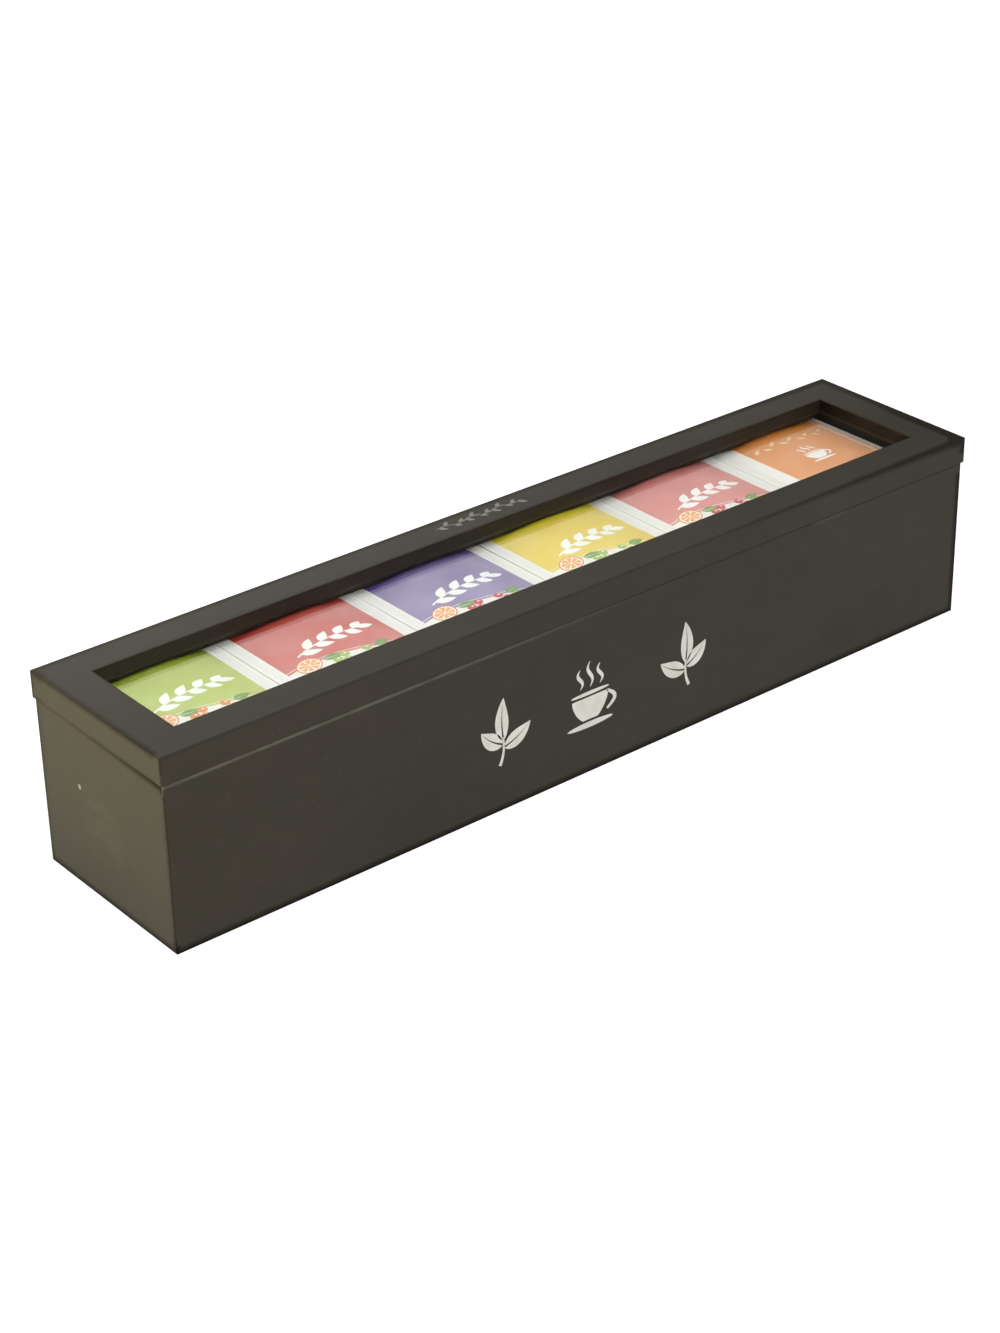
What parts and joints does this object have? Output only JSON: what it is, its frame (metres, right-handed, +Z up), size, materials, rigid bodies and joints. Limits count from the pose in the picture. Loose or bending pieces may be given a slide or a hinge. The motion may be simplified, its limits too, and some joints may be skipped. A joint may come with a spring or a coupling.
{
  "type": "tea chest",
  "caption": "Long low fibreboard chest for enveloped tea bags: a row of compartments under a hinged lid glazed with a clear pane.",
  "frame": {"origin": "centre of the underside of the box body, on the surface it stands on", "axes": "+X along the length, to the right seen from the front; +Y to the hinged back; +Z up"},
  "size_m": [0.43, 0.0956, 0.087],
  "materials": {
    "painted_board": "satin paint, black with a brown cast, over fibreboard",
    "base_board": "hardboard, stained dark",
    "divider_board": "thin painted fibreboard",
    "window_glass": "clear float glass",
    "bright_steel": "bright wire",
    "hinge_metal": "antique brass plating",
    "sachet_paper_green": "printed paper, satin",
    "sachet_paper_red": "printed paper, satin",
    "sachet_paper_violet": "printed paper, satin",
    "sachet_paper_yellow": "printed paper, satin",
    "sachet_paper_rose": "printed paper, satin",
    "sachet_paper_orange": "printed paper, satin"
  },
  "bodies": {
    "box": {"base_panel": "base_board", "front_wall": "painted_board", "back_wall": "painted_board", "left_end_wall": "painted_board", "right_end_wall": "painted_board", "divider_1": "divider_board", "divider_2": "divider_board", "divider_3": "divider_board", "divider_4": "divider_board", "divider_5": "divider_board", "corner_brads": "bright_steel", "base_brads": "bright_steel", "tea_sachets_green": "sachet_paper_green", "tea_sachets_red": "sachet_paper_red", "tea_sachets_violet": "sachet_paper_violet", "tea_sachets_yellow": "sachet_paper_yellow", "tea_sachets_rose": "sachet_paper_rose", "tea_sachets_orange": "sachet_paper_orange", "left_box_leaf": "hinge_metal", "right_box_leaf": "hinge_metal", "left_hinge_pin": "hinge_metal", "right_hinge_pin": "hinge_metal", "box_leaf_screws": "hinge_metal"},
    "lid": {"lid_front_rail": "painted_board", "lid_back_rail": "painted_board", "lid_left_rail": "painted_board", "lid_right_rail": "painted_board", "glass_pane": "window_glass", "front_bead": "painted_board", "back_bead": "painted_board", "left_bead": "painted_board", "right_bead": "painted_board", "bead_pins": "bright_steel", "left_lid_leaf": "hinge_metal", "right_lid_leaf": "hinge_metal", "lid_leaf_screws": "hinge_metal"}
  },
  "joints": [
    {"name": "lid_hinge", "type": "hinge", "parent": "box", "child": "lid", "pos_m": [0, 0.047, 0.07485], "axis": [-1, 0, 0], "range_deg": [0, 95]}
  ]
}
